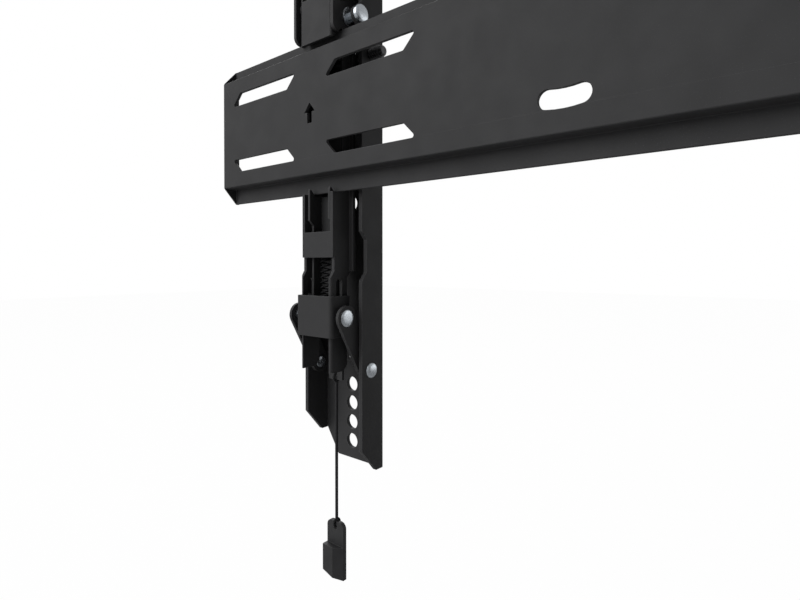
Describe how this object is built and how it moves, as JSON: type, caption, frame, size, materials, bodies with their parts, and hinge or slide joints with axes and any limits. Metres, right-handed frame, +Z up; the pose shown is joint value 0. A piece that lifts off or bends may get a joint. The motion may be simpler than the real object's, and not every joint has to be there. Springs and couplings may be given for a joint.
{
  "type": "tilting tv wall bracket",
  "caption": "Slotted wall plate with sliding arms, each a hooked hanger with a sprung latch and pull cord, and a drilled channel that tilts on links and a slotted cross pin.",
  "frame": {"origin": "on the wall, at the middle of the wall plate's back face", "axes": "+X along the plate, to the right as seen from behind the plate; +Y from the wall towards the television; +Z up"},
  "size_m": [0.486, 0.0364, 0.4867],
  "materials": {
    "powder_coat": "matte black powder coat",
    "zinc": "bright zinc plate",
    "black_bolt": "black oxide",
    "spring_steel": "drawn wire",
    "cord": "braided black cord",
    "black_plastic": "fine grained moulding"
  },
  "bodies": {
    "plate": {"wall_plate": "powder_coat"},
    "left_arm": {"left_collar": "powder_coat", "left_guide_rivets": "powder_coat", "left_hanger": "powder_coat", "left_inner_guide_plate": "powder_coat", "left_lower_pin": "zinc", "left_outer_guide_plate": "powder_coat", "left_return_spring": "spring_steel", "left_spacers": "zinc"},
    "left_links": {"left_inner_link": "powder_coat", "left_outer_link": "powder_coat"},
    "left_channel": {"left_tv_channel": "powder_coat", "left_inner_link_rivet": "zinc", "left_outer_link_rivet": "zinc", "left_link_washers": "zinc", "left_top_pin": "zinc", "left_pin_washers": "zinc", "left_cross_bolt": "black_bolt", "left_bolt_nut": "black_bolt"},
    "left_latch": {"left_latch": "powder_coat", "left_pull_cord": "cord", "left_pull_tab": "black_plastic"},
    "right_arm": {"right_collar": "powder_coat", "right_guide_rivets": "powder_coat", "right_hanger": "powder_coat", "right_inner_guide_plate": "powder_coat", "right_lower_pin": "zinc", "right_outer_guide_plate": "powder_coat", "right_return_spring": "spring_steel", "right_spacers": "zinc"},
    "right_links": {"right_inner_link": "powder_coat", "right_outer_link": "powder_coat"},
    "right_channel": {"right_tv_channel": "powder_coat", "right_inner_link_rivet": "zinc", "right_outer_link_rivet": "zinc", "right_link_washers": "zinc", "right_top_pin": "zinc", "right_pin_washers": "zinc", "right_cross_bolt": "black_bolt", "right_bolt_nut": "black_bolt"},
    "right_latch": {"right_latch": "powder_coat", "right_pull_cord": "cord", "right_pull_tab": "black_plastic"}
  },
  "joints": [
    {"name": "left_arm_slide", "type": "slide", "parent": "plate", "child": "left_arm", "axis": [1, 0, 0], "range_m": [-0.05, 0.1]},
    {"name": "left_link_swing", "type": "hinge", "parent": "left_arm", "child": "left_links", "pos_m": [-0.15, 0.0086, -0.119], "axis": [-1, 0, 0], "range_deg": [0, 12]},
    {"name": "left_tilt", "type": "hinge", "parent": "left_links", "child": "left_channel", "pos_m": [-0.15, 0.025, -0.1508], "axis": [1, 0, 0], "range_deg": [0, 6.85]},
    {"name": "left_latch_slide", "type": "slide", "parent": "left_arm", "child": "left_latch", "axis": [0, 0, -1], "range_m": [0, 0.006], "stiffness_N_per_m": 300, "springref_m": -0.01, "deforming": ["left_return_spring"]},
    {"name": "right_arm_slide", "type": "slide", "parent": "plate", "child": "right_arm", "axis": [1, 0, 0], "range_m": [-0.1, 0.05]},
    {"name": "right_link_swing", "type": "hinge", "parent": "right_arm", "child": "right_links", "pos_m": [0.15, 0.0086, -0.119], "axis": [-1, 0, 0], "range_deg": [0, 12]},
    {"name": "right_tilt", "type": "hinge", "parent": "right_links", "child": "right_channel", "pos_m": [0.15, 0.025, -0.1508], "axis": [1, 0, 0], "range_deg": [0, 6.85]},
    {"name": "right_latch_slide", "type": "slide", "parent": "right_arm", "child": "right_latch", "axis": [0, 0, -1], "range_m": [0, 0.006], "stiffness_N_per_m": 300, "springref_m": -0.01, "deforming": ["right_return_spring"]}
  ],
  "couplings": [
    {"joint": "left_link_swing", "follows": "left_tilt", "ratio": 1.7513},
    {"joint": "right_link_swing", "follows": "right_tilt", "ratio": 1.7513}
  ]
}
